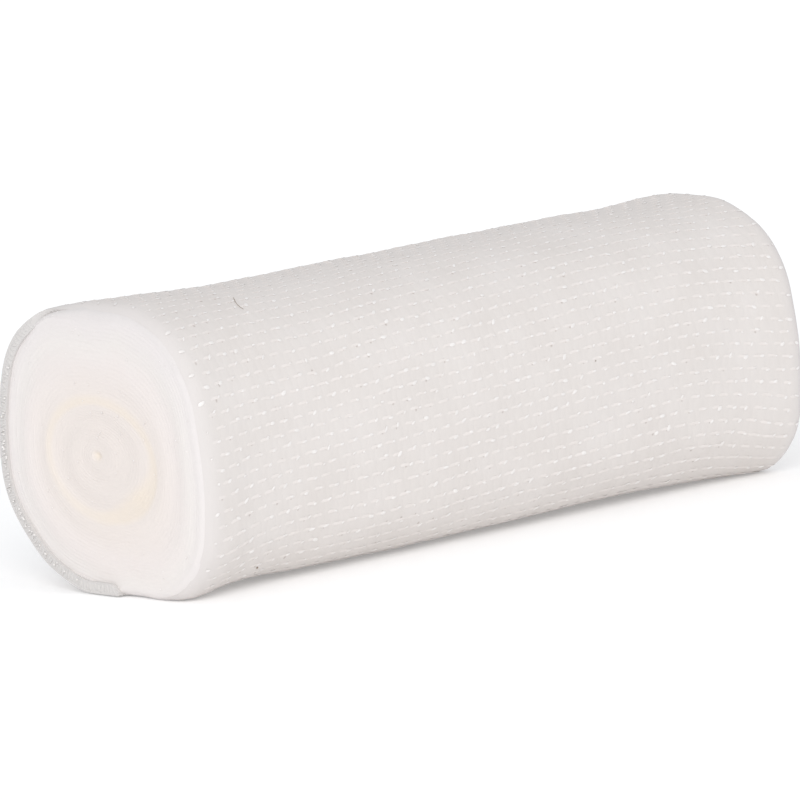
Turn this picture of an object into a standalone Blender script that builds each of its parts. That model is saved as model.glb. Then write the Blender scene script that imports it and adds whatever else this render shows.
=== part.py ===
# Gauze bandage roll: one woven strip wound up, lying on its side, with its last half turn come loose.
# Metres, +Z up. The roll's axis lies along X with the front end at -X. Angles go counterclockwise as seen
# from the front end, from the side that faces -Y: 0 is that side, 90 the top, 180 the far side, 270 the bottom.
import math

import bmesh
import bpy

MM = 0.001

BANDAGE_WIDTH = 80.0 * MM     # selvedge to selvedge, which is the length of the roll
NOMINAL_RADIUS = 15.75 * MM   # mean radius of an end
RIM_RADIUS = 1.8 * MM         # rounding where an end face turns into the side
SHEET = 1.0 * MM              # thickness of the loose turn
GAP = 0.3 * MM                # air between the loose turn and the roll
TAIL_ANGLE = 276.0            # where the strip's cut end lies, just past the bottom
LIFT_ANGLE = 97.0             # where the last turn comes off the roll, just past the top
STEP_DEGREES = 0.5            # the short way round in which the roll steps down under the loose turn
STEP_FADE = 6                 # how fast that step fades out from the rim towards the axis, as a power
TAIL_RISE = 24.0              # degrees past the cut end over which the turn below rises to the outline
LOOSE_OFFSET = 0.5 * MM       # how far the loose turn has crept out past the front face
FLAT_DEPTH = 0.4 * MM         # how deep the flat spots are pressed in under the ends

# Outline of an end with its last turn, once round from the strip's cut end: angle in degrees, radius in mm.
OUTLINE = (
    (-84, 14.5),
    (-74, 15.1),
    (-65, 16.1),
    (-54, 17.0),
    (-45, 17.2),
    (-34, 17.0),
    (-20, 16.05),
    (-6, 15.4),
    (9, 15.2),
    (28, 15.85),
    (48, 16.1),
    (68, 15.55),
    (90, 14.95),
    (109, 15.2),
    (134, 16.45),
    (146, 16.6),
    (163, 16.1),
    (180, 16.0),
    (197, 16.25),
    (222, 15.75),
    (249, 14.9),
    (264, 14.6),
    (276, 14.5),
)

# The form along the roll: distance from the front face in mm, size as a share of OUTLINE, lift in mm.
SECTIONS = (
    (0, 1.0, -0.05),
    (3, 1.0, -0.05),
    (7, 0.973, 0.12),
    (12, 0.96, 0.1),
    (18, 0.956, -0.14),
    (28, 0.96, -0.14),
    (45, 0.958, -0.02),
    (58, 0.955, 0.08),
    (66, 0.958, 0.03),
    (73, 0.968, -0.14),
    (77, 0.98, -0.27),
    (80, 0.985, -0.3),
)

# Main twists on an end face: the winding is tighter inside an oval band and looser outside it.
TWIST_PITCH = 3.4 * MM        # from one main turn to the next
TWIST_DEPTH = 0.16 * MM       # how far each main turn's edge stands out or lies back
CORE_RADIUS = 7.2 * MM        # mean radius of the tight core
CORE_FLATTENING = 0.2         # the core is an oval: this share longer and narrower than round
CORE_TILT = -25.0             # its long axis, in degrees from the side that faces -Y
CORE_SINK = 0.45 * MM         # the core's face lies this far back
CENTRE_DIMPLE = 0.5 * MM      # hole where the winding starts, closed by the cloth
DIMPLE_RADIUS = 1.2 * MM

COLUMNS = 88                  # points round the roll
FACE_RINGS = 15               # rings across an end face
RIM_RINGS = 4                 # rings round a rim
SHEET_COLUMNS = 46
SHEET_STATIONS = 22


def table_value(table, at, column=1):
    """Smooth curve through a table's rows: cubic pieces whose slopes come from the neighbouring rows."""
    last = len(table) - 1
    row = next((i for i in range(last) if at <= table[i + 1][0]), last - 1)
    points = [table[min(max(row + k, 0), last)] for k in (-1, 0, 1, 2)]
    x0, x1, x2, x3 = (p[0] for p in points)
    y0, y1, y2, y3 = (p[column] for p in points)
    span = x2 - x1
    slope1 = (y2 - y0) / (x2 - x0) * span
    slope2 = (y3 - y1) / (x3 - x1) * span
    t = min(max((at - x1) / span, 0.0), 1.0)
    return (
        (2 * t**3 - 3 * t**2 + 1) * y1
        + (t**3 - 2 * t**2 + t) * slope1
        + (3 * t**2 - 2 * t**3) * y2
        + (t**3 - t**2) * slope2
    )


def place(along, angle, inward=0.0, share=1.0):
    """Point of the roll: along it from the front face, at an angle on the last turn, brought towards the axis
    by share. Moving inward fades out with share, so a step in the side isn't carried across the end face."""
    station = min(max(along, 0.0), BANDAGE_WIDTH) / MM
    surface = table_value(OUTLINE, angle) * MM * table_value(SECTIONS, station)
    radius = surface * share - inward * share**STEP_FADE
    lift = table_value(SECTIONS, station, 2) * MM
    turn = math.radians(angle)
    return (
        along - BANDAGE_WIDTH / 2,
        -radius * math.cos(turn),
        radius * math.sin(turn) + lift,
    )


def depth_below_outline(angle):
    """How far the roll itself lies below the outline: under the loose turn, and just past its cut end."""
    if angle > LIFT_ANGLE:
        return SHEET + GAP
    rise = min((angle - TAIL_ANGLE + 360) / TAIL_RISE, 1.0)
    return (SHEET + GAP) * (1 - rise * rise * (3 - 2 * rise))


def column_angle(column):
    """Angle of a column of points. Two of them stand close together where the roll steps down."""
    rising = round(COLUMNS * (LIFT_ANGLE + 360 - TAIL_ANGLE) / 360)
    if column <= rising:
        return TAIL_ANGLE - 360 + (LIFT_ANGLE + 360 - TAIL_ANGLE) * column / rising
    falling = COLUMNS - rising - 1
    start = LIFT_ANGLE + STEP_DEGREES
    return start + (TAIL_ANGLE - start) * (column - rising - 1) / falling


def face_relief(radius, turn):
    """How far an end face lies back at this radius and angle: spiral of the main twists, sunken oval core
    and centre dimple."""
    twist = TWIST_DEPTH * math.cos(2 * math.pi * (radius / TWIST_PITCH) - turn)
    oval = 1 + CORE_FLATTENING * math.cos(2 * (turn - math.radians(CORE_TILT)))
    core = 1 / (1 + math.exp((radius / oval - CORE_RADIUS) / (0.35 * MM)))
    dimple = math.exp(-((radius / DIMPLE_RADIUS) ** 2))
    fade = min(1.0, radius / (2 * MM)) * min(1.0, (NOMINAL_RADIUS - radius) / (3 * MM))
    return TWIST_DEPTH + twist * max(fade, 0.0) + CORE_SINK * core + CENTRE_DIMPLE * dimple


def blank_profile():
    """Half outline of the turned blank, as (along, radius), from the front centre round to the far one."""
    flat = NOMINAL_RADIUS - RIM_RADIUS
    face = [(0.0, flat * i / FACE_RINGS) for i in range(FACE_RINGS + 1)]
    quarter = [math.pi / 2 * i / RIM_RINGS for i in range(1, RIM_RINGS + 1)]
    rim = [(RIM_RADIUS * (1 - math.cos(a)), flat + RIM_RADIUS * math.sin(a)) for a in quarter]
    front = face + rim
    side = [
        (station * MM, NOMINAL_RADIUS)
        for station, _, _ in SECTIONS
        if RIM_RADIUS < station * MM < BANDAGE_WIDTH - RIM_RADIUS
    ]
    back = [(BANDAGE_WIDTH - along, radius) for along, radius in reversed(front)]
    return front + side + back


def roll_point(blank):
    """Moves a point of the round blank to its place on the wound roll."""
    along = blank.x
    radius = math.hypot(blank.y, blank.z)
    column = round(math.atan2(blank.z, -blank.y) / (2 * math.pi) * COLUMNS) % COLUMNS
    angle = column_angle(column)
    turn = math.radians(angle)
    if radius < NOMINAL_RADIUS - RIM_RADIUS + 1e-6:
        back = face_relief(radius, turn)
        along += back if along < BANDAGE_WIDTH / 2 else -back
    return place(along, angle, depth_below_outline(angle), radius / NOMINAL_RADIUS)


def material(name, colour, roughness):
    made = bpy.data.materials.new(name)
    made.use_nodes = True
    shader = made.node_tree.nodes["Principled BSDF"]
    shader.inputs["Base Color"].default_value = (*colour, 1)
    shader.inputs["Roughness"].default_value = roughness
    shader.inputs["Metallic"].default_value = 0
    return made


def finished(name, mesh_data, finish, home):
    """Makes a bmesh an object in the home collection, shaded smooth but for its sharp edges."""
    bmesh.ops.recalc_face_normals(mesh_data, faces=mesh_data.faces)
    mesh = bpy.data.meshes.new(name)
    mesh_data.to_mesh(mesh)
    mesh_data.free()
    mesh.materials.append(finish)
    mesh.shade_smooth()
    mesh.set_sharp_from_angle(angle=math.radians(50))
    made = bpy.data.objects.new(name, mesh)
    home.objects.link(made)
    return made


def bandage_roll(finish, home):
    """The wound strip: a turned blank whose points are moved to the wound form."""
    blank = bmesh.new()
    outline = [blank.verts.new((along, -radius, 0)) for along, radius in blank_profile()]
    edges = [blank.edges.new(pair) for pair in zip(outline, outline[1:])]
    bmesh.ops.spin(
        blank,
        geom=outline + edges,
        cent=(0, 0, 0),
        axis=(-1, 0, 0),
        angle=2 * math.pi,
        steps=COLUMNS,
        use_merge=True,
    )
    bmesh.ops.remove_doubles(blank, verts=blank.verts, dist=1e-6)
    for vert in blank.verts:
        vert.co = roll_point(vert.co)
    return finished("bandage_roll", blank, finish, home)


def loose_end(finish, home):
    """The last half turn: a flat strip bent round the roll, then given its thickness inward."""
    start = LIFT_ANGLE + STEP_DEGREES + math.degrees(GAP / NOMINAL_RADIUS)
    strip = bmesh.new()
    bmesh.ops.create_grid(strip, x_segments=SHEET_STATIONS, y_segments=SHEET_COLUMNS, size=0.5)
    for vert in strip.verts:
        along = (vert.co.x + 0.5) * BANDAGE_WIDTH
        angle = start + (vert.co.y + 0.5) * (TAIL_ANGLE - start)
        x, y, z = place(along, angle)
        vert.co = (x - LOOSE_OFFSET, y, z)
    made = finished("loose_end", strip, finish, home)
    wall = made.modifiers.new("thickness", "SOLIDIFY")
    wall.thickness = SHEET
    wall.offset = -1
    return made


def press_flat(roll, sheet):
    """Presses the flat spots in under the ends, then puts the origin at the box's bottom centre."""
    sheet_points = [vert.co for vert in sheet.data.vertices]
    roll_points = [vert.co for vert in roll.data.vertices]
    points = sheet_points + roll_points
    floor = min(point.z for point in points) + FLAT_DEPTH
    for point in sheet_points:
        point.z = max(point.z, floor)
    tail_side = min(point.y for point in sheet_points) - 2 * GAP
    for point in roll_points:
        point.z = max(point.z, floor + (SHEET + GAP if point.y > tail_side else 0.0))
    middle = [(min(p[i] for p in points) + max(p[i] for p in points)) / 2 for i in (0, 1)]
    for point in points:
        point.x -= middle[0]
        point.y -= middle[1]
        point.z -= floor


def main():
    for old in list(bpy.data.objects):
        bpy.data.objects.remove(old)
    home = bpy.data.collections.new("gauze_bandage_roll")
    bpy.context.scene.collection.children.link(home)
    wound_gauze = material("wound_gauze", (0.84, 0.81, 0.79), 0.85)
    loose_gauze = material("loose_gauze", (0.72, 0.71, 0.71), 0.85)
    press_flat(bandage_roll(wound_gauze, home), loose_end(loose_gauze, home))


main()
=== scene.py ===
# Gauze bandage roll on a pale studio floor: one strip of elastic woven gauze, 8 cm wide, wound up and lying
# on its side, its last half turn come loose and tucked under. Settings are in millimetres and degrees.
# Angles go round as seen from the front end, at -X: 0 is the side that faces -Y, 90 the top, 180 the far
# side, 270 below.
import math

import bmesh
import bpy
import numpy as np
from mathutils import Matrix, Vector


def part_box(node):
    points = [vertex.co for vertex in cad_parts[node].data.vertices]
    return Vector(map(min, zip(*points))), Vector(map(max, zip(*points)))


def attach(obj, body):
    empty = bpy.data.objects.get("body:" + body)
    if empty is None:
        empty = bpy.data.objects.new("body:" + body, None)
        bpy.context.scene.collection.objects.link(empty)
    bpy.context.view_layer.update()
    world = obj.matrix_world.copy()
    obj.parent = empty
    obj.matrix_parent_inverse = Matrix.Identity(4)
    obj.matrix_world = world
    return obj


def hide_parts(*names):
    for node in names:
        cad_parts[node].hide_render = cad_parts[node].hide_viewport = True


mm = 0.001
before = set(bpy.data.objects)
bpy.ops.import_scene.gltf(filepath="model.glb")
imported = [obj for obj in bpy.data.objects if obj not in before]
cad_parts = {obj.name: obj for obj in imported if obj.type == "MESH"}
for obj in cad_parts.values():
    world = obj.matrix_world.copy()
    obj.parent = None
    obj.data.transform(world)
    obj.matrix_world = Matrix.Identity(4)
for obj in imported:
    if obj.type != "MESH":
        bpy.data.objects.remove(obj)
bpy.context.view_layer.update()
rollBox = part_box("bandage_roll")

# the form that everything is wound on
roll = {
    "width": 80.0,          # from selvedge to selvedge
    "axisX": (rollBox[0].x + rollBox[1].x) / 2 / mm,
    "axisY": -0.335,        # where the winding's centre line lies once the roll rests on its flat spots
    "axisZ": 14.228,
    "meanRadius": 15.75,
    "rimRadius": 1.8,       # rounding from an end face to the side
    "looseRimRadius": 0.03, # the same behind the loose turn
    "tailAngle": 273.5,     # where the cut end lies, just past the bottom
    "tailStep": 0.7,        # height of the step at the cut end
    "tailFade": 24.0,       # over these degrees past it the turn below rises to the outline
    "tailGap": 0.1,         # air under the cloth there
    "startSink": 0.7,       # the last turn starts this much deeper and further in, inside the winding
    "startFade": 12.0,      # it gets that deep over these degrees before the cut end's angle
    "liftAngle": 97.0,      # where the last turn comes off the roll, just past the top
    "liftSpan": 40.0,       # over these degrees it comes loose
    "tightLead": 10.0,      # the turns below stop being tight this much earlier
    "looseOffset": 0.5,     # how far the loose turn has crept out past the front face
    "looseReach": 0.15,     # behind it the outermost turns come forward this far
    "outermost": 0.1,       # which are this share of all turns
    "flushRim": 0.05,       # where the turns are tight, the face's rim comes out this far over the selvedge
    "softening": 0.12,      # of the flat spots' edges
    "spread": 1.5,          # the turns have crept apart towards the far end by this much
    "unevenness": 0.05,     # of the side
    "unevenLength": 9.0,    # its wavelength
}
firstAngle = roll["tailAngle"] - 360    # the cut end's angle, where the way once round the roll begins
degreesPerRadian = 57.3

# outline of an end, once round from the cut end: angle, radius
outline = (
    (-84, 14.5), (-74, 15.1), (-65, 16.1), (-54, 17.0), (-45, 17.2), (-34, 17.0), (-20, 16.05), (-6, 15.4),
    (9, 15.2), (28, 15.85), (48, 16.1), (68, 15.55), (90, 14.95), (109, 15.35), (120, 16.05), (134, 16.55),
    (146, 16.6), (163, 16.1), (180, 16.0), (197, 16.2), (222, 15.5), (249, 14.8), (264, 14.6), (276, 14.5),
)

# the form along the roll: distance from the front face, size as a share of the outline, lift
sections = (
    (0, 1.0, -0.05), (3, 1.0, -0.05), (7, 0.973, 0.12), (12, 0.96, 0.1), (18, 0.956, -0.14),
    (28, 0.96, -0.14), (45, 0.958, -0.02), (58, 0.955, 0.08), (66, 0.958, 0.03), (72, 0.964, -0.13),
    (76, 0.982, -0.22), (78.5, 0.99, -0.22), (80, 0.985, -0.22),
)

# the last turn of the strip, from where it starts under its own cut end
strip = {
    "startAngle": -106.5,
    "length": 104.5,        # flat, from there to the cut end
    "thickness": 0.42,      # of the ground cloth, without its yarns
    "looseThickness": 1.15, # it springs open where it is loose
    "yarnHeight": 0.15,     # how far the yarns stand above it
    "clearance": 0.01,      # between it and the turn below
    "edgeTurn": 33.0,       # the selvedge is rolled in over the rim, this far short of the end face
    "looseEdgeTurn": 80.0,  # the loose turn's selvedge is hardly rolled in
    "looseCurl": 0.1,
    "tailTaper": 1.3,       # over this length the cut end gets thinner
    "tailThin": 0.06,       # share of it at which that stops
    "bowFade": 60.0,        # over these degrees from its start the picks' bow comes in
    "sunkPast": 4.0,        # its sunk start is drawn in from the ends up to here past the cut end
    "sunkFade": 10.0,       # getting less over these degrees
    "sunkReach": 8.0,       # and over this distance from the selvedge
}

# how far the picks are pulled round the roll on their way along it: distance from the front, shift
pickBow = ((0, 0), (10, 0.9), (20, 1.7), (40, 2.8), (62, 3.8), (70, 3.5), (80, 2.0))

# air between the loose turn and the roll, below 0 where it presses on the roll: angle, gap
looseGap = (
    (97, 0), (103, 0.05), (112, -0.06), (240, -0.06), (249, 0.1), (262, 0.13), (270, 0.08), (276, 0),
)


def smoothStep(value):
    t = np.clip(value, 0, 1)
    return t * t * (3 - 2 * t)


def throughRows(table, at, column=1):
    # smooth curve through a table's rows, whose slope at a row comes from the rows beside it
    rows = np.array(table, float)
    x = rows[:, 0]
    y = rows[:, column]
    order = np.arange(len(x))
    before = np.maximum(order - 1, 0)
    after = np.minimum(order + 1, len(x) - 1)
    slope = (y[after] - y[before]) / (x[after] - x[before])
    at = np.clip(at, x[0], x[-1])
    i = np.clip(np.searchsorted(x, at, side="right") - 1, 0, len(x) - 2)
    span = x[i + 1] - x[i]
    t = (at - x[i]) / span
    return (
        (2 * t**3 - 3 * t**2 + 1) * y[i]
        + (t**3 - 2 * t**2 + t) * slope[i] * span
        + (3 * t**2 - 2 * t**3) * y[i + 1]
        + (t**3 - t**2) * slope[i + 1] * span
    )


def waves(a, b, wavelength, seed, count=9):
    # smooth unevenness over a surface, about -1 to 1: sine waves in random directions
    draw = np.random.default_rng(seed)
    total = 0
    for _ in range(count):
        heading, phase = draw.uniform(0, 2 * math.pi, 2)
        step = 2 * math.pi / (wavelength * draw.uniform(0.6, 1.5))
        total = total + np.sin(step * (a * math.cos(heading) + b * math.sin(heading)) + phase)
    return total / math.sqrt(count) / 1.3


def outlineRadius(angle, station):
    once = np.where(angle < firstAngle, angle + 360, angle)
    return throughRows(outline, once) * throughRows(sections, station)


def angleAlong(along):
    # where a place along the strip comes to lie round the roll, before the picks' bow
    return strip["startAngle"] + along / strip["length"] * (roll["tailAngle"] - strip["startAngle"])


def alongAt(angle):
    return (angle - strip["startAngle"]) / (roll["tailAngle"] - strip["startAngle"]) * strip["length"]


def looseAt(angle):
    # 0 where the last turn is wound, 1 where it is loose
    return smoothStep((angle - roll["liftAngle"]) / roll["liftSpan"])


def unevenAt(x, angle):
    # how far the side strays out or in, x from the roll's middle
    around = angle * roll["meanRadius"] / degreesPerRadian
    return roll["unevenness"] * waves(x, around, roll["unevenLength"], seed=5)


def spreadAlong(x):
    return x + roll["spread"] * smoothStep(x / (roll["width"] / 2))


def onRoll(x, radius, angle, lift):
    # from places along, off and round the roll's axis to points in metres
    turn = np.radians(angle)
    return mm * np.stack(
        [
            roll["axisX"] + spreadAlong(x) + 0 * radius,
            roll["axisY"] - radius * np.cos(turn),
            roll["axisZ"] + radius * np.sin(turn) + lift,
        ],
        axis=-1,
    )


def pressedFlat(places, clearance):
    # where the roll lies on the floor it is flattened, with a soft start
    above = places[:, 2] - clearance
    places[:, 2] = clearance + (above + np.sqrt(above**2 + (roll["softening"] * mm) ** 2)) / 2
    return places


def depthByTail(angle):
    # how far the strip's start lies below the outline, under the cut end and just past it
    past = angle - firstAngle
    step = roll["tailStep"] * (1 - smoothStep(past / roll["tailFade"]))
    return step + roll["startSink"] * smoothStep(-past / roll["startFade"])


def tightAt(angle):
    # 1 where the turns are tight, 0 behind the loose turn
    lead = roll["tightLead"]
    tightToLift = 1 - smoothStep((angle - roll["liftAngle"] + lead) / roll["liftSpan"])
    return tightToLift * smoothStep((angle - firstAngle + lead) / (2 * lead))


def rimAt(angle):
    return roll["looseRimRadius"] + (roll["rimRadius"] - roll["looseRimRadius"]) * tightAt(angle)


def windStrip(across, along, height):
    # flat cloth onto the roll: across it from the front selvedge, along it, height above the ground cloth
    halfWidth = roll["width"] / 2
    angle = angleAlong(along)
    wound = 1 - looseAt(angle)
    bowIn = smoothStep((angle - strip["startAngle"]) / strip["bowFade"])
    bowed = throughRows(pickBow, across) * wound * bowIn
    angle = angle + np.degrees(bowed / roll["meanRadius"])
    curl = roll["rimRadius"] + (strip["looseCurl"] - roll["rimRadius"]) * (1 - wound)
    fromSelvedge = np.minimum(across, roll["width"] - across)
    quarter = curl * math.pi / 2
    edgeTurn = strip["edgeTurn"] + (strip["looseEdgeTurn"] - strip["edgeTurn"]) * (1 - wound)
    begin = curl * np.radians(edgeTurn)
    thicker = 1 + (strip["looseThickness"] / strip["thickness"] - 1) * (1 - wound)
    toTail = np.clip((strip["length"] - along) / strip["tailTaper"], strip["tailThin"], 1)
    height = np.where(height < 0, height * thicker, height) * np.sqrt(toTail * (2 - toTail))
    arc = begin + fromSelvedge * (halfWidth - curl + quarter - begin) / halfWidth
    bend = np.minimum(arc / curl, math.pi / 2)
    sunk = roll["startSink"] * smoothStep((firstAngle + strip["sunkPast"] - angle) / strip["sunkFade"])
    inFromEnd = curl * (1 - np.cos(bend)) + np.maximum(arc - quarter, 0) - height * np.cos(bend)
    inFromEnd = inFromEnd + sunk * np.clip(1 - fromSelvedge / strip["sunkReach"], 0, 1)
    drop = curl * (1 - np.sin(bend)) - height * np.sin(bend)
    side = np.where(across < halfWidth, -1, 1)
    x = side * (halfWidth - inFromEnd)
    station = x + halfWidth
    radius = outlineRadius(angle, station) - strip["yarnHeight"] - depthByTail(angle) - drop
    radius = radius + unevenAt(x, angle)
    lift = throughRows(sections, station, 2)
    places = onRoll(x - roll["looseOffset"] * (1 - wound), radius, angle, lift)
    return pressedFlat(places, (strip["yarnHeight"] - height) * mm)


def woundRadius(angle, station):
    # the roll itself under its last turn; angle from the cut end once round
    cloth = strip["thickness"] + (strip["looseThickness"] - strip["thickness"]) * looseAt(angle)
    cloth = cloth + strip["yarnHeight"] + strip["clearance"]
    byTail = roll["tailGap"] * (1 - smoothStep((angle - firstAngle) / roll["tailFade"]))
    gap = np.where(angle > roll["liftAngle"], throughRows(looseGap, angle), byTail)
    uneven = unevenAt(station - roll["width"] / 2, angle)
    return outlineRadius(angle, station) - cloth - gap + uneven


def hexColour(code):
    # an sRGB code to linear red, green and blue, and alpha
    channels = [int(code[i : i + 2], 16) / 255 for i in (1, 3, 5)]
    linear = [c / 12.92 if c <= 0.04045 else ((c + 0.055) / 1.055) ** 2.4 for c in channels]
    return (*linear, 1.0)


def addNode(tree, kind, inputs=(), **settings):
    # adds a shader node; an input's value is another node's output, which is linked, or a plain value
    node = tree.nodes.new("ShaderNode" + kind)
    for name, value in settings.items():
        setattr(node, name, value)
    for socket, value in dict(inputs).items():
        if isinstance(value, bpy.types.NodeSocket):
            tree.links.new(value, node.inputs[socket])
        else:
            node.inputs[socket].default_value = value
    return node


def newFinish(name):
    made = bpy.data.materials.new(name)
    made.use_nodes = True
    tree = made.node_tree
    return made, tree, tree.nodes["Principled BSDF"]


def toMesh(name, bm):
    mesh = bpy.data.meshes.new(name)
    bm.to_mesh(mesh)
    bm.free()
    return mesh


def pointsOf(mesh):
    points = np.empty(len(mesh.vertices) * 3, np.float32)
    mesh.vertices.foreach_get("co", points)
    return points.reshape(-1, 3).astype(float)


def repeated(bm, count):
    # a small shape many times over, by an Array modifier; the copies share one place until they are spread
    pattern = bpy.data.objects.new("pattern", toMesh("pattern", bm))
    bpy.context.scene.collection.objects.link(pattern)
    array = pattern.modifiers.new("copies", "ARRAY")
    array.count = count
    array.use_relative_offset = False
    bpy.context.view_layer.update()
    mesh = bpy.data.meshes.new_from_object(pattern.evaluated_get(bpy.context.evaluated_depsgraph_get()))
    bpy.data.objects.remove(pattern)
    return mesh


def manyGrains(bm, count):
    # a small shape many times over, and the points of its copies, copy by copy
    perGrain = len(bm.verts)
    mesh = repeated(bm, count)
    return mesh, pointsOf(mesh).reshape(count, perGrain, 3)


def asPiece(name, mesh, finish, places=None):
    # a mesh becomes a smooth-shaded piece at the origin; places are its points in metres, in their order
    mesh.name = name
    if places is not None:
        mesh.vertices.foreach_set("co", np.ascontiguousarray(places, np.float32).ravel())
    mesh.materials.clear()
    mesh.materials.append(finish)
    mesh.shade_smooth()
    mesh.set_sharp_from_angle(angle=math.radians(60))
    mesh.update()
    piece = bpy.data.objects.new(name, mesh)
    bpy.context.scene.collection.objects.link(piece)
    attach(piece, "root")
    return piece


def stripMap(piece, across, along):
    # UV map that follows the strip: across it from 0 to 1, along it from 0 to 1
    layer = piece.data.uv_layers.new(name="strip")
    corners = np.zeros(len(piece.data.loops), np.int32)
    piece.data.loops.foreach_get("vertex_index", corners)
    uv = np.stack([across / roll["width"], along / strip["length"]], axis=-1)[corners]
    layer.data.foreach_set("uv", uv.astype(np.float32).ravel())


def woundPiece(name, mesh, finish, across, along, height):
    # a piece made flat, in the strip's own millimetres, is wound onto the roll
    across, along, height = np.stack([across, along, height]).reshape(3, -1)
    piece = asPiece(name, mesh, finish, windStrip(across, along, height))
    stripMap(piece, across, along)
    return piece


# the weave, on the flat strip
weave = {
    "warpSpacing": 0.94,
    "warps": 85,
    "pickSpacing": 1.374,
    "picks": 76,
    "warpHalfWidth": 0.8,     # crimped warps spread out over each other
    "warpHalfHeight": 0.041,
    "warpNarrowing": 0.05,    # where a pick binds them
    "warpUnevenness": 0.05,   # of their width
    "warpWander": 0.03,
    "warpRoom": 0.05,         # they stay this far inside the ground cloth's edge
    "pickHalfWidth": 0.17,
    "pickHalfHeight": 0.036,
    "pickHeight": 0.018,
    "pickInset": 0.3,         # the picks end this far inside the selvedge
    "crimp": 0.006,
    "pickCrimp": 0.037,
    "pickZigzag": 0.03,
    "drift": 0.26,            # how far neighbouring picks wander together
    "stray": 0.08,            # and each by itself
    "warpSegments": 120,
    "warpSides": 8,
    "pickSegments": 170,
    "pickSides": 5,
    "plainEdge": 0.9,         # picks lie hidden this far in from a selvedge,
    "plainFade": 1.2,         # come up over this distance
    "plainDepth": 0.12,       # and lie this much deeper
    "plainWarps": 1,          # and so many warps have no floats
    "floatHalfLength": 0.3,
    "floatHalfWidth": 0.15,
    "floatHalfHeight": 0.045,
    "floatHeight": 0.062,
    "floatSlant": 72.0,       # from across the strip, measured from along it
    "slantStray": 20.0,
    "floatSizes": (0.5, 1.3),
    "floatWidths": (0.7, 1.3),
    "floatStray": (0.16, 0.09),  # across and along
    "floatsMissing": 0.08,    # share of them
    "denseEdge": (2.6, 0.5),  # the selvedge gets whiter from here to here inside it
    "shadedFreeEdge": (2.2, 1.0),   # and greyer with painted shade from here to here where it is loose,
    "freeShadeFade": 9.0,          # which comes in over this distance along the strip
}

# painted shade of pinholes: darker dots in the cells between two warps and two picks, where a hole would
# lie in shade
pinhole = {
    "place": (0.14, 0.47, 0),
    "chance": (0.4, 1.0),     # of a cell's random number: from no hole to the largest
    "reach": (-0.05, 0.15),   # the radius for these two, as shares of a cell
    "softness": (-0.06, 0.05),
    "plainEdge": 1.5,         # none this far in from a selvedge
}

# tone of an end face, from the middle of the winding to the rim: share of the turns, colour; the last,
# darker stop is painted shade greying the very rim
faceTonesAndRimShade = (
    (0.0, "#e6ded9"), (0.35, "#e6ded9"), (0.50, "#e8e0db"), (0.68, "#e8e1de"), (0.78, "#e8e3e0"),
    # the last stop is painted shade at the rim
    (0.90, "#e5e0df"), (1.0, "#dbd7d6"),
)


def calc(tree, operation, *values, **settings):
    return addNode(tree, "Math", dict(enumerate(values)), operation=operation, **settings).outputs[0]


def vectorCalc(tree, operation, *values):
    node = addNode(tree, "VectorMath", dict(enumerate(values)), operation=operation)
    return node.outputs["Value" if operation in ("DOT_PRODUCT", "DISTANCE") else "Vector"]


def clothPlace(tree):
    # the strip's own UV map in millimetres: across it and along it
    uv = addNode(tree, "UVMap", uv_map="strip").outputs["UV"]
    return vectorCalc(tree, "MULTIPLY", uv, (roll["width"], strip["length"], 1))


def blend(tree, share, first, second):
    return addNode(tree, "Mix", {0: share, 6: first, 7: second}, data_type="RGBA").outputs[2]


def ranged(tree, value, start, end, low=0.0, high=1.0):
    # a value between start and end becomes one between low and high
    return addNode(tree, "MapRange", {"Value": value, 1: start, 2: end, 3: low, 4: high}).outputs["Result"]


def noise(tree, place, scale, detail, roughness=0.5):
    inputs = {"Vector": place, "Scale": scale, "Detail": detail, "Roughness": roughness}
    return addNode(tree, "TexNoise", inputs).outputs["Fac"]


def dress(tree, shader, colour, roughness, specular=0.5, bump=None):
    # gives a shader its colour, gloss and relief: height, strength and depth in millimetres
    tree.links.new(colour, shader.inputs["Base Color"])
    shader.inputs["Roughness"].default_value = roughness
    shader.inputs["Specular IOR Level"].default_value = specular
    if bump:
        height, strength, depth = bump
        relief = addNode(tree, "Bump", {"Height": height, "Strength": strength, "Distance": depth * mm})
        tree.links.new(relief.outputs["Normal"], shader.inputs["Normal"])


def edgeTonesAndShade(tree, place, colour):
    # the selvedge is woven more densely and is whiter; where it stands free it is greyer, painted shade for
    # the shade behind its sheer single layer
    apart = addNode(tree, "SeparateXYZ", {"Vector": place})
    half = roll["width"] / 2
    distance = calc(tree, "ABSOLUTE", calc(tree, "SUBTRACT", apart.outputs["X"], half))
    dense = ranged(tree, distance, *[half - inside for inside in weave["denseEdge"]])
    free = ranged(tree, distance, *[half - inside for inside in weave["shadedFreeEdge"]])
    liftAt = alongAt(roll["liftAngle"])
    loose = ranged(tree, apart.outputs["Y"], liftAt, liftAt + weave["freeShadeFade"])
    whiter = blend(tree, dense, colour, hexColour("#ddd8d6"))
    # painted shade: the loose selvedge is made greyer
    return blend(tree, calc(tree, "MULTIPLY", free, loose), whiter, hexColour("#d4d1cf"))


def cottonGauze():
    # Bleached cotton gauze, crinkled and brushed: matt, slightly warm white, with soft uneven threads, and
    # painted shade where its selvedge stands free
    made, tree, shader = newFinish("bleached_cotton_gauze")
    place = clothPlace(tree)
    fibres = noise(tree, place, 2.6, 4, 0.7)
    tone = blend(tree, noise(tree, place, 0.26, 3), hexColour("#dcd7d3"), hexColour("#e3deda"))
    dress(tree, shader, edgeTonesAndShade(tree, place, tone), 0.9, 0.2, bump=(fibres, 0.5, 0.06))
    return made


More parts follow.
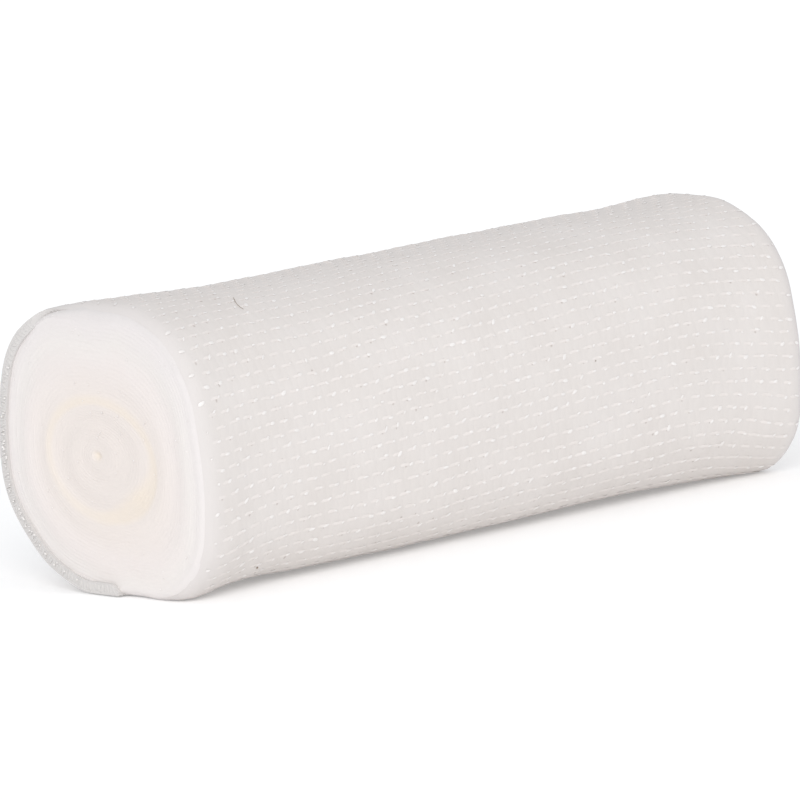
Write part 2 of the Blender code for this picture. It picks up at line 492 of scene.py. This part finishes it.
def pinholes(tree, place):
    # 0 to 1: painted shade of a pinhole beside a float here and there, a darker dot where the warps leave a
    #         gap in shade
    cells = vectorCalc(tree, "MULTIPLY", place, (1 / weave["warpSpacing"], 1 / weave["pickSpacing"], 1))
    cell = vectorCalc(tree, "FLOOR", cells)
    toHole = vectorCalc(tree, "DISTANCE", vectorCalc(tree, "FRACTION", cells), pinhole["place"])
    chance = addNode(tree, "TexWhiteNoise", {"Vector": cell}, noise_dimensions="3D").outputs["Value"]
    reach = ranged(tree, chance, *pinhole["chance"], *pinhole["reach"])
    # none in every other cell, where the numbers of warp and pick add up to an odd one
    odd = calc(tree, "FRACT", vectorCalc(tree, "DOT_PRODUCT", cell, (0.5, 0.5, 0)))
    evenReach = calc(tree, "MULTIPLY_ADD", odd, -1.0, reach)
    inside = calc(tree, "SUBTRACT", evenReach, toHole)
    hole = ranged(tree, inside, *pinhole["softness"])
    across = addNode(tree, "SeparateXYZ", {"Vector": place}).outputs["X"]
    half = roll["width"] / 2
    return calc(tree, "MULTIPLY", hole, calc(tree, "COMPARE", across, half, half - pinhole["plainEdge"]))


def crimpedYarn(name, dull, bright, patchScale, holed):
    # Crimped cotton yarn with stretch: fluffy and matt, its fibres mostly along it, with painted shade in
    # pinholes if asked and at a free selvedge
    made, tree, shader = newFinish(name)
    place = clothPlace(tree)
    along = addNode(tree, "Mapping", {"Vector": place, "Scale": (9, 2.5, 1)}).outputs["Vector"]
    fibres = noise(tree, along, 1, 4, 0.65)
    lightness = calc(tree, "MULTIPLY_ADD", noise(tree, place, patchScale, 3, 0.6), 1.6, -0.5)
    mixed = calc(tree, "MULTIPLY_ADD", fibres, 0.4, lightness, use_clamp=True)
    tone = blend(tree, mixed, hexColour(dull), hexColour(bright))
    if holed:
        # painted shade: darker pinhole dots
        tone = blend(tree, pinholes(tree, place), tone, hexColour("#c6beb9"))
    dress(tree, shader, edgeTonesAndShade(tree, place, tone), 0.9, 0.2, bump=(fibres, 0.4, 0.04))
    return made


def glossyFilament():
    # Polyamide filament where it crosses over the picks: pure white, with a satin gleam
    made, tree, shader = newFinish("polyamide_filament")
    place = addNode(tree, "TexCoord").outputs["Object"]
    tone = blend(tree, noise(tree, place, 700, 1), hexColour("#e1dcd9"), hexColour("#f7f4f2"))
    dress(tree, shader, tone, 0.32, 1.0)
    return made


def rolledSelvedges():
    # Edges of some fifty turns seen end on: felt-like cotton, grey-white outside with painted shade at the
    # very rim, pinkish cream further in, with an ochre-tinged oval ring where the tight core ends and an
    # ochre dot at the start of the winding
    made, tree, shader = newFinish("rolled_gauze_selvedges")
    zone = addNode(tree, "Attribute", attribute_name="zone").outputs["Fac"]
    tinge = addNode(tree, "Attribute", attribute_name="tinge").outputs["Fac"]
    place = addNode(tree, "TexCoord").outputs["Object"]
    blotches = noise(tree, place, 420, 2)
    drifted = calc(tree, "ADD", zone, calc(tree, "MULTIPLY_ADD", blotches, 0.1, -0.05))
    ramp = addNode(tree, "ValToRGB", {"Fac": drifted})
    stops = ramp.color_ramp.elements
    stops.remove(stops[1])
    stops[0].color = hexColour(faceTonesAndRimShade[0][1])
    for position, code in faceTonesAndRimShade[1:]:
        stops.new(position).color = hexColour(code)
    uneven = calc(tree, "MULTIPLY_ADD", blotches, 0.7, 0.65)
    ochre = calc(tree, "MULTIPLY", tinge, uneven, use_clamp=True)
    tone = blend(tree, ochre, ramp.outputs["Color"], hexColour("#efe1cb"))
    dress(tree, shader, tone, 0.9, 0.2, bump=(noise(tree, place, 3000, 4, 0.7), 0.75, 0.06))
    return made


gauze = cottonGauze()
yarn = crimpedYarn("crimped_cotton_yarn", "#dcd6d2", "#e2ddda", patchScale=0.16, holed=True)
whiterYarn = crimpedYarn("spun_weft_yarn", "#e1dbd7", "#ebe5e2", patchScale=0.9, holed=False)
filament = glossyFilament()
turnEdges = rolledSelvedges()

# the wound turns, seen end on
turns = {
    "count": 47,
    "columns": 200,
    "acrossTurn": 4,
    "sideRows": 12,
    "spacing": 0.33,        # from one turn to the next
    "groove": 0.024,        # depth between one turn's edge and the next
    "wander": 0.02,         # how far a turn's edge strays out or in
    "mainPitch": 3.4,       # the main twists, which lie a little prouder or deeper
    "mainDepth": 0.075,
    "mainFades": (0.15, 0.2),  # shares of the turns over which they come in, at the middle and at the rim
    "coreSink": 0.16,
    "coreStep": 0.1,        # share of the turns over which the face goes down into the core
    "dimple": 0.3,
    "dimpleRadius": 0.5,
}

# the oval that the tight core makes, measured on the front face: right is towards -Y
core = {
    "share": 0.42,          # share of the turns that are inside it
    "centre": (-0.5, -0.7),
    "halfLong": 7.95,
    "halfShort": 5.7,
    "tilt": -7.0,
    "start": (-1.35, -0.25),
}

# round the rim, in radians of its quarter circle: where a change starts, over how much, and how much of it
rimForm = {
    "extra": 0.57,                  # the quarter circle is longer than its radius by this share of it
    "levelling": (0.0, 0.55, 0.95), # the face's relief is levelled
    "lastLevelling": (1.3, 0.25, 0.05),
    "tucking": (0.55, 0.75, 0.3),   # from flush with the last turn the rim goes under it
    "lastTucking": (1.3, 0.25, 0.7),
}

# ochre tinge on an end face: a ring by shares of the turns, and a dot where the winding starts
ochreRing = {
    "from": 0.385,
    "fadeIn": 0.04,
    "to": 0.43,
    "fadeOut": 0.05,
    "strength": 0.31,
    "lowRight": (-48, 42.0),        # middle angle and half width of its broader part,
    "further": 0.12,                # which starts this much further in and fades in over half of that more
    "stronger": 0.3,
    "left": (200, 45.0),            # the same of its weaker part
    "weaker": 0.45,
    "dot": 0.42,
    "dotRadius": 0.032,
}


def zoneAt(share, angle):
    # the grey-white outer zone is wider towards the top
    turn = np.radians(angle)
    return share * (1.03 - 0.026 * np.cos(turn) + 0.065 * np.sin(turn))


def nearAngle(angle, middle, halfWidth):
    # 1 at one angle, falling off to both sides
    return np.exp(-(((np.mod(angle - middle, 360) + 180) % 360 - 180) / halfWidth) ** 2)


def tingeAt(share, angle):
    lowRight = nearAngle(angle, *ochreRing["lowRight"])
    left = nearAngle(angle, *ochreRing["left"])
    start = share - ochreRing["from"] + ochreRing["further"] * lowRight
    inner = smoothStep(start / (ochreRing["fadeIn"] + ochreRing["further"] / 2 * lowRight))
    outer = 1 - smoothStep((share - ochreRing["to"]) / ochreRing["fadeOut"])
    strength = ochreRing["strength"] * (1 + ochreRing["stronger"] * lowRight - ochreRing["weaker"] * left)
    return strength * inner * outer + ochreRing["dot"] * np.exp(-((share / ochreRing["dotRadius"]) ** 2))


def roundRim(bend, names):
    total = 0
    for start, span, part in (rimForm[name] for name in names):
        total = total + part * smoothStep((bend - start) / span)
    return total


def inCoreOval(share, turn):
    # within the core the turns grow from the start of the winding to the oval: right, up
    tilt = math.radians(core["tilt"])
    along = core["halfLong"] * np.cos(turn - tilt)
    across = core["halfShort"] * np.sin(turn - tilt)
    grown = np.clip(share / core["share"], 0, 1)
    right = core["start"][0] + (core["centre"][0] - core["start"][0]) * grown
    up = core["start"][1] + (core["centre"][1] - core["start"][1]) * grown
    right = right + grown * (along * math.cos(tilt) - across * math.sin(tilt))
    return right, up + grown * (along * math.sin(tilt) + across * math.cos(tilt))


def facePoint(share, angle, depth, front):
    # a point of an end face: share of the turns that lie inside it, angle, how far it lies back
    side = -1 if front else 1
    turn = np.radians(angle)
    rimAngle = np.mod(angle - roll["tailAngle"], 360) + roll["tailAngle"] - 360
    station = 0.0 if front else roll["width"]
    rim = woundRadius(rimAngle, station)
    rimRadius = rimAt(rimAngle)
    flatRim = rim - rimRadius
    across = roll["meanRadius"] + rimForm["extra"] * roll["rimRadius"]
    flatShare = 1 - roll["rimRadius"] * math.pi / 2 / across
    right, up = inCoreOval(share, turn)
    outCore = (share - core["share"]) / (flatShare - core["share"])
    right = right + np.clip(outCore, 0, 1) * (flatRim * np.cos(turn) - right)
    up = up + np.clip(outCore, 0, 1) * (flatRim * np.sin(turn) - up)
    bend = np.clip((share - flatShare) / (1 - flatShare), 0, 1) * math.pi / 2
    tight = tightAt(rimAngle)
    outermost = smoothStep((share - (1 - roll["outermost"])) / roll["outermost"])
    depth = depth * (1 - roundRim(bend, ("levelling", "lastLevelling")))
    depth = depth - roll["looseReach"] * (1 - tight) * outermost
    grow = (rimRadius - depth) * np.sin(bend)
    flush = outlineRadius(rimAngle, station) - strip["yarnHeight"] + roll["flushRim"] - rim
    grow = grow + flush * tight * smoothStep(outCore) * (1 - roundRim(bend, ("tucking", "lastTucking")))
    back = rimRadius * (1 - np.cos(bend)) + depth * np.cos(bend)
    right = right + grow * np.cos(turn)
    up = up + grow * np.sin(turn)
    places = np.stack(
        [
            roll["axisX"] + spreadAlong(side * (roll["width"] / 2 - back)),
            roll["axisY"] - right,
            roll["axisZ"] + up + throughRows(sections, station, 2),
        ],
        axis=-1,
    )
    return pressedFlat(places * mm, 0.0)


def faceDepth(turnNumber, side, angle):
    # how far the edge of a turn lies back: side is 0 and 1 in the grooves and 0.5 on the edge
    share = np.clip(turnNumber, 0, turns["count"]) / turns["count"]
    run = math.pi * turns["spacing"] * np.maximum(turnNumber, 0) ** 2
    edge = turns["wander"] * waves(run, 0 * run, 7, seed=3)
    edge = edge + 0.5 * turns["wander"] * waves(run, 0 * run, 1.6, seed=4)
    crest = np.sin(np.pi * side) ** 2
    radius = share * roll["meanRadius"]
    atMiddle, atRim = turns["mainFades"]
    twist = np.cos(2 * np.pi * radius / turns["mainPitch"] - np.radians(angle))
    twist = turns["mainDepth"] * twist * smoothStep(share / atMiddle) * smoothStep((1 - share) / atRim)
    inCore = 1 - smoothStep((share - core["share"] + turns["coreStep"] / 2) / turns["coreStep"])
    dimple = turns["dimple"] * np.exp(-((radius / turns["dimpleRadius"]) ** 2))
    groove = turns["groove"] * (1 - crest)
    return groove + edge * crest + twist + turns["coreSink"] * inCore + dimple + turns["mainDepth"]


def addGrid(bm, columns, rows):
    # the points of one more grid, and how far along its columns and rows each lies, from 0 to 1
    before = len(bm.verts)
    bmesh.ops.create_grid(bm, x_segments=columns, y_segments=rows, size=0.5)
    bm.verts.ensure_lookup_table()
    newVerts = bm.verts[before:]
    return newVerts, np.array([vert.co for vert in newVerts], float) + 0.5


def woundTurns():
    # both end faces as one spiral of turns each, then the side; their rims are the same points
    bm = bmesh.new()
    zoneLayer = bm.verts.layers.float.new("zone")
    tingeLayer = bm.verts.layers.float.new("tinge")
    columns = turns["columns"]
    onSpiral = columns * (turns["count"] + 1)
    for front in (True, False):
        newVerts, flat = addGrid(bm, onSpiral, turns["acrossTurn"])
        number = np.round(flat[:, 0] * onSpiral) / columns - 1
        side = np.round(flat[:, 1] * turns["acrossTurn"]) / turns["acrossTurn"]
        inner = np.clip(number, 0, turns["count"])
        outer = np.clip(number + 1, 0, turns["count"])
        share = (inner + (outer - inner) * side) / turns["count"]
        angle = firstAngle + np.mod(number, 1) * 360
        places = facePoint(share, angle, faceDepth(number + side, side, angle), front)
        seen = angle if front else -angle
        for vert, place, zone, tinge in zip(newVerts, places, zoneAt(share, seen), tingeAt(share, seen)):
            vert.co = place
            vert[zoneLayer] = zone
            vert[tingeLayer] = tinge
    newVerts, flat = addGrid(bm, columns, turns["sideRows"])
    column = np.round(flat[:, 0] * columns)
    angle = firstAngle + np.mod(column, columns) / columns * 360
    station = roll["rimRadius"] + flat[:, 1] * (roll["width"] - 2 * roll["rimRadius"])
    radius = woundRadius(angle, station)
    places = onRoll(station - roll["width"] / 2, radius, angle, throughRows(sections, station, 2))
    rimAngles = firstAngle + np.arange(columns + 1) * 360.0 / columns
    outermost, level = np.ones(columns + 1), np.zeros(columns + 1)
    frontRim = facePoint(outermost, rimAngles, level, True)
    farRim = facePoint(outermost, rimAngles, level, False)
    for vert, place, share, number in zip(newVerts, places, flat[:, 1], column.astype(int)):
        if share < 0.001:
            place = frontRim[number]
        elif share > 0.999:
            place = farRim[number]
        vert.co = place
        vert[zoneLayer] = 1.0
    bmesh.ops.remove_doubles(bm, verts=bm.verts, dist=0.0001 * mm)
    bmesh.ops.recalc_face_normals(bm, faces=bm.faces)
    return asPiece("wound_turns", toMesh("wound_turns", bm), turnEdges)


woundRoll = woundTurns()
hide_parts("bandage_roll")
print("wound turns:", len(woundRoll.data.polygons), "faces")

# sparse ends of the polyamide filament that stand out of the wound selvedges and catch the light
filamentEnds = {
    "perFace": 90,
    "byLooseEdge": 44,      # more of them on the selvedge of the loose turn
    "size": (0.04, 0.085),
    "depth": 0.06,
    "angles": (-85, 275),
    "area": (0.01, 0.92),   # share of the face's area inside them
    "proud": 0.11,          # on the loose selvedge they stand out this far
    "edgeSize": (1.3, 2.2, 1.5),
    "edgeAngles": (145, 250),
    "edgeAcross": (0.01, 0.08),
    "edgeDepth": (0.6, 1.05),
}


def standingEnds():
    draw = np.random.default_rng(61)
    perFace = filamentEnds["perFace"]
    byEdge = filamentEnds["byLooseEdge"]
    count = 2 * perFace + byEdge
    bm = bmesh.new()
    bmesh.ops.create_uvsphere(bm, u_segments=6, v_segments=4, radius=1)
    mesh, grain = manyGrains(bm, count)
    share = np.sqrt(draw.uniform(*filamentEnds["area"], count))
    angle = draw.uniform(*filamentEnds["angles"], count)
    middle = np.zeros((count, 3))
    for first, front in ((0, True), (perFace, False)):
        here = slice(first, first + perFace)
        middle[here] = facePoint(share[here], angle[here], np.full(perFace, filamentEnds["depth"]), front)
    along = alongAt(draw.uniform(*filamentEnds["edgeAngles"], byEdge))
    across = draw.uniform(*filamentEnds["edgeAcross"], byEdge)
    height = -strip["thickness"] * draw.uniform(*filamentEnds["edgeDepth"], byEdge)
    middle[-byEdge:] = windStrip(across, along, height)
    middle[-byEdge:, 0] -= filamentEnds["proud"] * mm
    size = draw.uniform(*filamentEnds["size"], (count, 1, 3)) * mm
    size[-byEdge:] *= filamentEnds["edgeSize"]
    places = middle[:, None, :] + grain * size
    return asPiece("filament_ends", mesh, filament, places.reshape(-1, 3))


standing = standingEnds()
print("filament ends:", len(standing.data.polygons), "faces")

# the small loops along both selvedges
selvedge = {
    "inset": 0.14,               # the ground cloth ends this far inside its loops
    "loopSpacing": 0.52,
    "spacingStray": 0.05,
    "looseSize": (0.17, 0.15),   # half width along the strip, and half length across it
    "tightSize": (0.2, 0.08),
    "looseFrom": (140, 30),      # loops are loose from this angle, which comes in over so many degrees,
    "looseTo": (228, 22),        # to this one
    "sizes": (0.6, 1.3),
    "lean": (0.1, 0.14),         # along the strip: mean and scatter
    "reach": (0.55, 0.95),       # half height, in half thicknesses of the cloth
    "middle": (-1.15, -0.95),
    "room": 0.01,                # they stay this far inside the strip's edges
}

# the last turn's ground cloth; its rows lie closer together at the selvedges
groundCloth = {"columns": 220, "rows": 76, "edgeRows": 0.8}


def lastTurn():
    bm = bmesh.new()
    bmesh.ops.create_grid(bm, x_segments=groundCloth["rows"], y_segments=groundCloth["columns"], size=0.5)
    for vert in bm.verts:
        share = vert.co.x + 0.5
        across = share - groundCloth["edgeRows"] * math.sin(2 * math.pi * share) / (2 * math.pi)
        across = selvedge["inset"] + across * (roll["width"] - 2 * selvedge["inset"])
        vert.co = (across, (vert.co.y + 0.5) * strip["length"], 0)
    bm.normal_update()
    bmesh.ops.solidify(bm, geom=bm.faces, thickness=strip["thickness"])
    bmesh.ops.recalc_face_normals(bm, faces=bm.faces)
    mesh = toMesh("outer_turn", bm)
    flat = pointsOf(mesh)
    flat[:, 2] -= flat[:, 2].max()
    return woundPiece("outer_turn", mesh, gauze, *flat.T)


outerTurn = lastTurn()
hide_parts("loose_end")
print("outer turn:", len(outerTurn.data.polygons), "faces")


def straightYarns(count, length, segments, sides):
    # straight round yarns of radius 1, all along X from 0 to length, and the number of each point's yarn
    bm = bmesh.new()
    lying = Matrix.Translation((length / 2, 0, 0)) @ Matrix.Rotation(math.radians(90), 4, "Y")
    bmesh.ops.create_cone(
        bm, cap_ends=True, segments=sides, radius1=1, radius2=1, depth=length, matrix=lying
    )
    runs = [edge for edge in bm.edges if abs(edge.verts[0].co.x - edge.verts[1].co.x) > length / 2]
    bmesh.ops.subdivide_edges(bm, edges=runs, cuts=segments - 1)
    perYarn = len(bm.verts)
    mesh = repeated(bm, count)
    return mesh, pointsOf(mesh), np.repeat(np.arange(count), perYarn)


def warpYarns():
    mesh, points, number = straightYarns(
        weave["warps"], strip["length"], weave["warpSegments"], weave["warpSides"]
    )
    run = points[:, 0]
    atPick = np.cos(np.pi * (run / weave["pickSpacing"] - 0.5)) ** 8
    # the yarns lie far apart in the waves, so that each goes its own way
    uneven = weave["warpUnevenness"] * waves(number * 7.3, run, 3, seed=21)
    width = weave["warpHalfWidth"] * (1 + uneven - weave["warpNarrowing"] * atPick)
    across = weave["warpSpacing"] * (number + 0.5) - points[:, 1] * width  # minus keeps the faces outwards
    across = across + weave["warpWander"] * waves(number * 9.1, run, 5, seed=22)
    edge = selvedge["inset"] + weave["warpRoom"]
    across = np.clip(across, edge, roll["width"] - edge)
    crimp = weave["crimp"] * np.cos(np.pi * (run / weave["pickSpacing"] + number))
    height = points[:, 2] * weave["warpHalfHeight"] + crimp
    return woundPiece("warp_yarns", mesh, yarn, across, run, height)


def pickDrift(across, number):
    together = waves(across, number * weave["pickSpacing"], 24, seed=24)
    alone = waves(across, number * 8.7, 6, seed=23)
    return weave["drift"] * together + weave["stray"] * alone


def pickYarns():
    length = roll["width"] - 2 * weave["pickInset"]
    mesh, points, number = straightYarns(weave["picks"], length, weave["pickSegments"], weave["pickSides"])
    across = points[:, 0] + weave["pickInset"]
    crimp = np.cos(np.pi * (across / weave["warpSpacing"] + number))
    run = weave["pickSpacing"] * (number + 0.5) + points[:, 1] * weave["pickHalfWidth"]
    run = run + pickDrift(across, number) + weave["pickZigzag"] * crimp
    inFromEdge = np.minimum(across, roll["width"] - across)
    shown = smoothStep((inFromEdge - weave["plainEdge"]) / weave["plainFade"])
    height = points[:, 2] * weave["pickHalfHeight"] + weave["pickHeight"] + weave["pickCrimp"] * crimp
    height = height - weave["plainDepth"] * (1 - shown)
    return woundPiece("weft_picks", mesh, whiterYarn, across, run, height)


def warpFloats():
    # a short piece of filament at every other crossing
    draw = np.random.default_rng(31)
    innerWarps = np.arange(weave["plainWarps"], weave["warps"] - weave["plainWarps"])
    warp, pick = np.meshgrid(innerWarps, np.arange(weave["picks"]))
    shown = ((warp + pick) % 2 == 0) & (draw.random(warp.shape) > weave["floatsMissing"])
    warp, pick = warp[shown], pick[shown]
    count = len(warp)
    bm = bmesh.new()
    lying = Matrix.Rotation(math.radians(90), 4, "Y")
    bmesh.ops.create_uvsphere(bm, u_segments=6, v_segments=4, radius=1, matrix=lying)
    mesh, grain = manyGrains(bm, count)
    size = draw.uniform(*weave["floatSizes"], (count, 1))
    slant = np.radians(draw.normal(weave["floatSlant"], weave["slantStray"], (count, 1)))
    long = grain[..., 0] * weave["floatHalfLength"] * size
    wide = grain[..., 1] * weave["floatHalfWidth"] * draw.uniform(*weave["floatWidths"], (count, 1))
    wide = wide * np.sqrt(size)
    strayAcross, strayAlong = weave["floatStray"]
    across = weave["warpSpacing"] * (warp + 0.5)[:, None] + draw.normal(0, strayAcross, (count, 1))
    run = weave["pickSpacing"] * (pick + 0.5)[:, None] + draw.normal(0, strayAlong, (count, 1))
    run = run + pickDrift(across, pick[:, None])
    across = across + long * np.sin(slant) - wide * np.cos(slant)
    run = run + long * np.cos(slant) + wide * np.sin(slant)
    height = weave["floatHeight"] + grain[..., 2] * weave["floatHalfHeight"]
    return woundPiece("warp_floats", mesh, filament, across, run, height)


warpYarn = warpYarns()
pickYarn = pickYarns()
floats = warpFloats()
print("yarns:", [len(piece.data.polygons) for piece in (warpYarn, pickYarn, floats)], "faces")


def selvedgeLoops():
    # where a pick turns back at the edge: one small loop over the cloth's edge after the other
    draw = np.random.default_rng(41)
    perSide = round(strip["length"] / selvedge["loopSpacing"]) - 2
    count = 2 * perSide
    bm = bmesh.new()
    bmesh.ops.create_uvsphere(bm, u_segments=8, v_segments=6, radius=1)
    mesh, loop = manyGrains(bm, count)
    number = np.tile(np.arange(perSide) + 1.5, 2)[:, None]
    far = np.repeat([0, 1], perSide)[:, None]
    run = number * selvedge["loopSpacing"] + draw.normal(0, selvedge["spacingStray"], (count, 1))
    angle = angleAlong(run)
    (start, fadeIn), (end, fadeOut) = selvedge["looseFrom"], selvedge["looseTo"]
    loose = smoothStep((angle - start) / fadeIn) * (1 - smoothStep((angle - end) / fadeOut))
    tightSize, looseSize = selvedge["tightSize"], selvedge["looseSize"]
    halfWidth = tightSize[0] + (looseSize[0] - tightSize[0]) * loose
    standing = tightSize[1] + (looseSize[1] - tightSize[1]) * loose
    standing = standing * draw.uniform(*selvedge["sizes"], (count, 1))
    lean = draw.normal(*selvedge["lean"], (count, 1))
    reach = draw.uniform(*selvedge["reach"], (count, 1))
    middle = draw.uniform(*selvedge["middle"], (count, 1))
    run = run + loop[..., 0] * halfWidth + loop[..., 2] * lean
    inset = np.where(far > 0, -selvedge["inset"], selvedge["inset"])
    across = roll["width"] * far + inset - loop[..., 1] * standing
    across = np.clip(across, selvedge["room"], roll["width"] - selvedge["room"])
    height = (reach * loop[..., 2] + middle) * strip["thickness"] / 2
    return woundPiece("selvedge_loops", mesh, yarn, across, run, height)


selvedges = selvedgeLoops()
print("selvedges:", len(selvedges.data.polygons), "faces")

# cut warp ends: a few fibres of each stand out past the cut, thinner towards their tips
fray = {
    "perWarp": 3,
    "length": (0.15, 0.75),
    "halfWidth": 0.035,
    "taper": 0.8,
    "root": 0.1,            # they begin this far inside the cut
    "slant": 0.25,
    "bow": 0.12,
    "spread": 0.3,          # across the end of their warp
    "level": (-0.25, 0.0),
}


def frayedEnd():
    draw = np.random.default_rng(51)
    count = fray["perWarp"] * weave["warps"]
    mesh, points, number = straightYarns(count, 1.0, 5, 5)
    length = draw.uniform(*fray["length"], count)[number]
    slant = draw.normal(0, fray["slant"], count)[number]
    bow = draw.normal(0, fray["bow"], count)[number]
    aside = draw.uniform(-fray["spread"], fray["spread"], count)[number]
    start = weave["warpSpacing"] * (number // fray["perWarp"] + 0.5) + aside
    run = points[:, 0]
    thin = fray["halfWidth"] * (1 - fray["taper"] * run)
    across = start - points[:, 1] * thin + slant * length * run + bow * run**2
    along = strip["length"] - fray["root"] + (length + fray["root"]) * run
    height = draw.uniform(*fray["level"], count)[number] + points[:, 2] * thin
    return woundPiece("cut_end_fray", mesh, whiterYarn, across, along, height)


frayed = frayedEnd()

# what clings to the cloth: a short curved hair and two specks, by their places across and along the strip;
# a speck's third number is its radius
lint = {
    "hair": ((13.4, 46.7), (12.85, 45.8), (12.5, 45.0), (12.4, 44.4), (12.5, 44.0)),
    "hairRadius": 0.026,
    "specks": ((9.0, 15.5, 0.1), (52.4, 27.9, 0.06)),
    "speckShape": (1.3, 0.9, 0.6, 1),
    "height": 0.11,
}


def darkLint():
    # Wool and paper lint: matt brown, mottled
    made, tree, shader = newFinish("brown_lint")
    place = addNode(tree, "TexCoord").outputs["Object"]
    tone = blend(tree, noise(tree, place, 3000, 1), hexColour("#6a5c50"), hexColour("#a08c74"))
    dress(tree, shader, tone, 0.85)
    return made


def clingingLint():
    bm = bmesh.new()
    lying = Matrix.Rotation(math.radians(90), 4, "Y")
    bmesh.ops.create_cone(bm, cap_ends=True, segments=6, radius1=1, radius2=0.6, depth=1, matrix=lying)
    runs = [edge for edge in bm.edges if abs(edge.verts[0].co.x - edge.verts[1].co.x) > 0.5]
    bmesh.ops.subdivide_edges(bm, edges=runs, cuts=12)
    hair = np.array(lint["hair"])
    radius = lint["hairRadius"]
    stretch = np.linspace(-0.5, 0.5, len(hair))
    for vert in bm.verts:
        across = np.interp(vert.co.x, stretch, hair[:, 0]) + vert.co.y * radius
        along = np.interp(vert.co.x, stretch, hair[:, 1])
        vert.co = (across, along, lint["height"] + vert.co.z * radius)
    for across, along, size in lint["specks"]:
        place = Matrix.Translation((across, along, lint["height"])) @ Matrix.Diagonal(lint["speckShape"])
        bmesh.ops.create_uvsphere(bm, u_segments=10, v_segments=6, radius=size, matrix=place)
    bmesh.ops.recalc_face_normals(bm, faces=bm.faces)
    mesh = toMesh("lint", bm)
    return woundPiece("lint", mesh, darkLint(), *pointsOf(mesh).T)


clinging = clingingLint()
print("cut end and lint:", [len(piece.data.polygons) for piece in (frayed, clinging)], "faces")

# the photo's camera
camera = {
    "azimuth": 40.89,       # to the right of straight along +Y
    "elevation": 8.5,
    "tilt": 4.44,           # the picture is turned counterclockwise by this
    "distance": 885.0,
    "focal": 394.4,         # on a 36 mm sensor
    "aim": (0.25, 0.995, 13.208),
}


def studioCamera():
    azimuth = math.radians(camera["azimuth"])
    elevation = math.radians(camera["elevation"])
    tilt = math.radians(camera["tilt"])
    ahead, aside = math.cos(azimuth), math.sin(azimuth)
    forward = Vector((aside * math.cos(elevation), ahead * math.cos(elevation), -math.sin(elevation)))
    level = Vector((ahead, -aside, 0))
    upright = level.cross(forward)
    right = math.cos(tilt) * level - math.sin(tilt) * upright
    up = math.sin(tilt) * level + math.cos(tilt) * upright
    aim = Vector(camera["aim"]) * mm
    data = bpy.data.cameras.new("studio_camera")
    data.lens = camera["focal"]
    data.sensor_width = 36
    data.clip_start = 0.05
    made = bpy.data.objects.new("studio_camera", data)
    rotation = Matrix((right, up, -forward)).transposed()
    made.matrix_world = Matrix.Translation(aim - forward * camera["distance"] * mm) @ rotation.to_4x4()
    bpy.context.scene.collection.objects.link(made)
    bpy.context.scene.camera = made
    return forward, right, up, aim


forward, right, up, aim = studioCamera()

# lights and floor; the key light's place is in metres from the roll, along the camera's directions
studio = {
    "world": 0.77,
    "worldTone": "#fafcff",
    "floor": 4.0,           # metres from its middle to its edges
    "nearGlow": 0.16,       # of the floor by the roll
    "farGlow": 0.36,        # of the sweep behind it, a painted glow in place of a light of its own
    "glowRise": (20, 420),  # from here to here behind the roll it gets brighter
    "key": {"away": 1.25, "right": -0.13, "up": 0.48, "size": 0.8, "power": 6.8, "tone": "#fffdfa"},
}


def softLight(name, settings):
    data = bpy.data.lights.new(name, "AREA")
    data.shape = "DISK"
    data.size = settings["size"]
    data.energy = settings["power"]
    data.color = hexColour(settings["tone"])[:3]
    made = bpy.data.objects.new(name, data)
    place = aim - forward * settings["away"] + right * settings["right"] + up * settings["up"]
    turned = (aim - place).to_track_quat("-Z", "Y").to_matrix().to_4x4()
    made.matrix_world = Matrix.Translation(place) @ turned
    bpy.context.scene.collection.objects.link(made)


softLight("key_light", studio["key"])


def paleFloor():
    # Matt white studio sweep that glows by itself, painted light that grows further behind the roll so that
    # it stays pale
    made, tree, shader = newFinish("white_sweep_painted_glow")
    place = addNode(tree, "TexCoord").outputs["Object"]
    tone = blend(tree, noise(tree, place, 3, 2), hexColour("#f6f6f6"), hexColour("#f9f9f9"))
    dress(tree, shader, tone, 0.95, 0.0)
    shader.inputs["Emission Color"].default_value = (1, 1, 1, 1)
    behind = vectorCalc(tree, "DOT_PRODUCT", place, forward)
    start, end = studio["glowRise"]
    glow = ranged(tree, behind, start * mm, end * mm, studio["nearGlow"], studio["farGlow"])
    tree.links.new(glow, shader.inputs["Emission Strength"])
    bm = bmesh.new()
    bmesh.ops.create_grid(bm, x_segments=1, y_segments=1, size=studio["floor"])
    floor = bpy.data.objects.new("floor", toMesh("floor", bm))
    floor.data.materials.append(made)
    bpy.context.scene.collection.objects.link(floor)


paleFloor()

world = bpy.data.worlds.new("white_studio")
bpy.context.scene.world = world
world.use_nodes = True
backdrop = world.node_tree.nodes["Background"]
backdrop.inputs["Color"].default_value = hexColour(studio["worldTone"])
backdrop.inputs["Strength"].default_value = studio["world"]
bpy.context.scene.view_settings.view_transform = "Standard"
print("studio ready")
